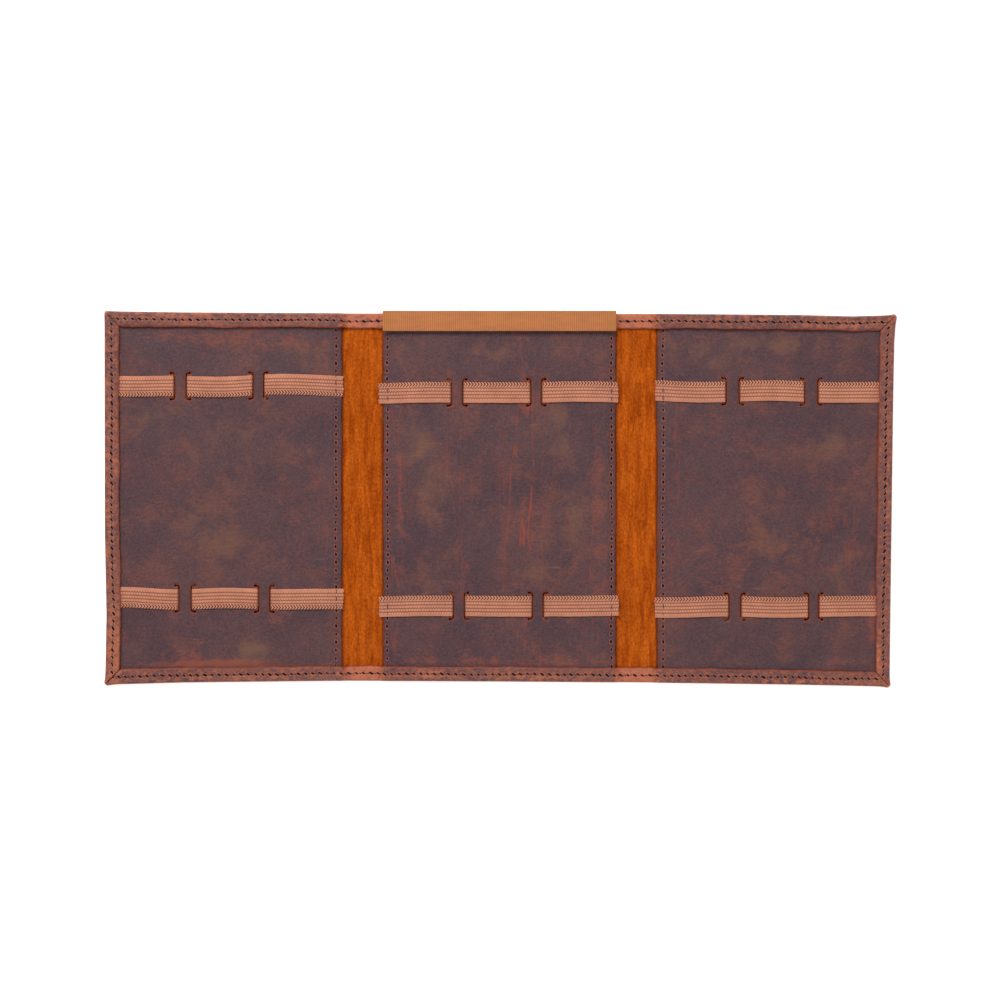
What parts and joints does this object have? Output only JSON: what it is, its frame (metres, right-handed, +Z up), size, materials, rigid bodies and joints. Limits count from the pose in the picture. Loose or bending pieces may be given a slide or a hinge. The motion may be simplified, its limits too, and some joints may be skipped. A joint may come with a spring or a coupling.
{
  "type": "tri-fold pencil case",
  "caption": "Tri-fold leather pencil case lying open: stiff panels with woven elastic pencil loops, soft fold strips between them and an elastic closure band at the head.",
  "frame": {"origin": "middle of the centre panel's outer leather, on its underside, where the open case rests", "axes": "+X to the right flap, +Y to the head with the closure band, +Z up out of the inside face"},
  "size_m": [0.473, 0.2235, 0.0081],
  "materials": {
    "cover_leather": "waxed pull-up leather, worn red-brown at folds",
    "panel_leather": "waxed pull-up leather with scuffs and creases",
    "suede": "raw flesh side, napped",
    "strap_elastic": "woven elastic, ribbed lengthwise",
    "band_elastic": "woven elastic, fine crosswise ribs",
    "board": "uncoated board",
    "thread": "waxed polyester thread"
  },
  "bodies": {
    "centre": {"cover_centre": "cover_leather", "panel_centre": "panel_leather", "stiffener_centre": "board", "elastic_centre_top": "strap_elastic", "elastic_centre_bottom": "strap_elastic", "stitching_centre_head": "thread", "stitching_centre_tail": "thread", "seam_centre_left": "thread", "seam_centre_right": "thread"},
    "left_fold": {"fold_strip_left": "suede", "stitching_fold_left_head": "thread", "stitching_fold_left_tail": "thread"},
    "left_flap": {"cover_left": "cover_leather", "panel_left": "panel_leather", "stiffener_left": "board", "elastic_left_top": "strap_elastic", "elastic_left_bottom": "strap_elastic", "stitching_left": "thread", "seam_left_flap": "thread"},
    "right_fold": {"fold_strip_right": "suede", "stitching_fold_right_head": "thread", "stitching_fold_right_tail": "thread"},
    "right_flap": {"cover_right": "cover_leather", "panel_right": "panel_leather", "stiffener_right": "board", "elastic_right_top": "strap_elastic", "elastic_right_bottom": "strap_elastic", "stitching_right": "thread", "seam_right_flap": "thread"},
    "closure_band": {"closure_band": "band_elastic"}
  },
  "joints": [
    {"name": "left_fold_hinge", "type": "hinge", "parent": "centre", "child": "left_fold", "pos_m": [-0.0774, 0, 0.00115], "axis": [0, 1, 0], "range_deg": [0, 90]},
    {"name": "left_flap_fold", "type": "hinge", "parent": "left_fold", "child": "left_flap", "pos_m": [-0.0908, 0, 0.00115], "axis": [0, 1, 0], "range_deg": [0, 90]},
    {"name": "right_fold_hinge", "type": "hinge", "parent": "centre", "child": "right_fold", "pos_m": [0.0719, 0, 0.00115], "axis": [0, -1, 0], "range_deg": [0, 90]},
    {"name": "right_flap_fold", "type": "hinge", "parent": "right_fold", "child": "right_flap", "pos_m": [0.0927, 0, 0.00115], "axis": [0, -1, 0], "range_deg": [0, 90]},
    {"name": "closure_band_lift", "type": "hinge", "parent": "centre", "child": "closure_band", "pos_m": [0, 0.1125, 0.0066], "axis": [-1, 0, 0], "range_deg": [0, 95]}
  ],
  "couplings": [
    {"joint": "left_fold_hinge", "follows": "left_flap_fold", "ratio": 1},
    {"joint": "right_fold_hinge", "follows": "right_flap_fold", "ratio": 1}
  ]
}
